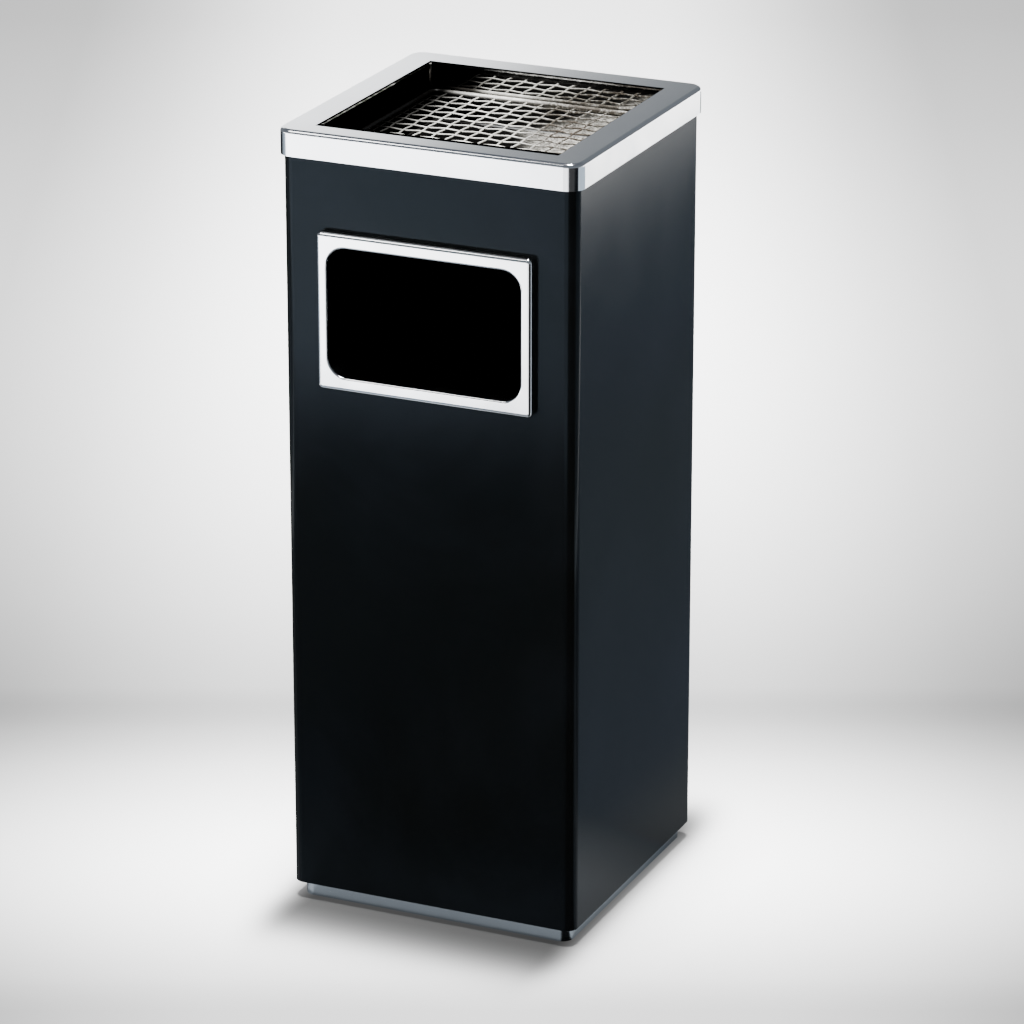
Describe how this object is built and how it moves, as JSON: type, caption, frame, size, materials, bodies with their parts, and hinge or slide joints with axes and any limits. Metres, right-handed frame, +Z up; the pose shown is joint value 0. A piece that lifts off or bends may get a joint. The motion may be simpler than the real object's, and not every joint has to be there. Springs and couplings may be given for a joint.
{
  "type": "ashtray bin",
  "caption": "Square column litter bin with a front opening, a lift-out liner and a lift-off steel ashtray head with a wire grid.",
  "frame": {"origin": "middle of the footprint on the floor, at the underside of the rubber feet", "axes": "+Z up along the column, -Y towards the front opening, +X to the right when facing the front"},
  "size_m": [0.24, 0.245, 0.61],
  "materials": {
    "black_paint": "satin powder coat",
    "polished_steel": "polished stainless steel",
    "brushed_steel": "brushed",
    "wire_steel": "drawn wire, lightly stained",
    "zinc": "zinc plated",
    "rubber": "matte"
  },
  "bodies": {
    "cabinet": {"body_shell": "black_paint", "seam_strip": "black_paint", "base_plate": "black_paint", "plinth_band": "brushed_steel", "plinth_rivets": "zinc", "rubber_feet": "rubber", "foot_screws": "zinc", "foot_nuts": "zinc", "aperture_surround": "polished_steel"},
    "head": {"top_rim": "polished_steel", "ash_pan": "polished_steel", "pan_clips": "brushed_steel"},
    "grid": {"grid_border": "wire_steel", "grid_long_wires": "wire_steel", "grid_cross_wires": "wire_steel"},
    "liner": {"liner_pail": "black_paint", "liner_floor": "black_paint", "liner_rim_wire": "black_paint", "liner_ears": "zinc", "ear_rivets": "zinc"},
    "bail": {"bail_wire": "zinc"}
  },
  "joints": [
    {"name": "head_lift", "type": "slide", "parent": "cabinet", "child": "head", "axis": [0, 0, 1], "range_m": [0, 0.1]},
    {"name": "grid_lift", "type": "slide", "parent": "head", "child": "grid", "axis": [0, 0, 1], "range_m": [0, 0.06]},
    {"name": "liner_lift", "type": "slide", "parent": "cabinet", "child": "liner", "axis": [0, 0, 1], "range_m": [0, 0.13]},
    {"name": "bail_swing", "type": "hinge", "parent": "liner", "child": "bail", "pos_m": [0, 0.0025, 0.396], "axis": [-1, 0, 0], "range_deg": [0, 160]}
  ]
}
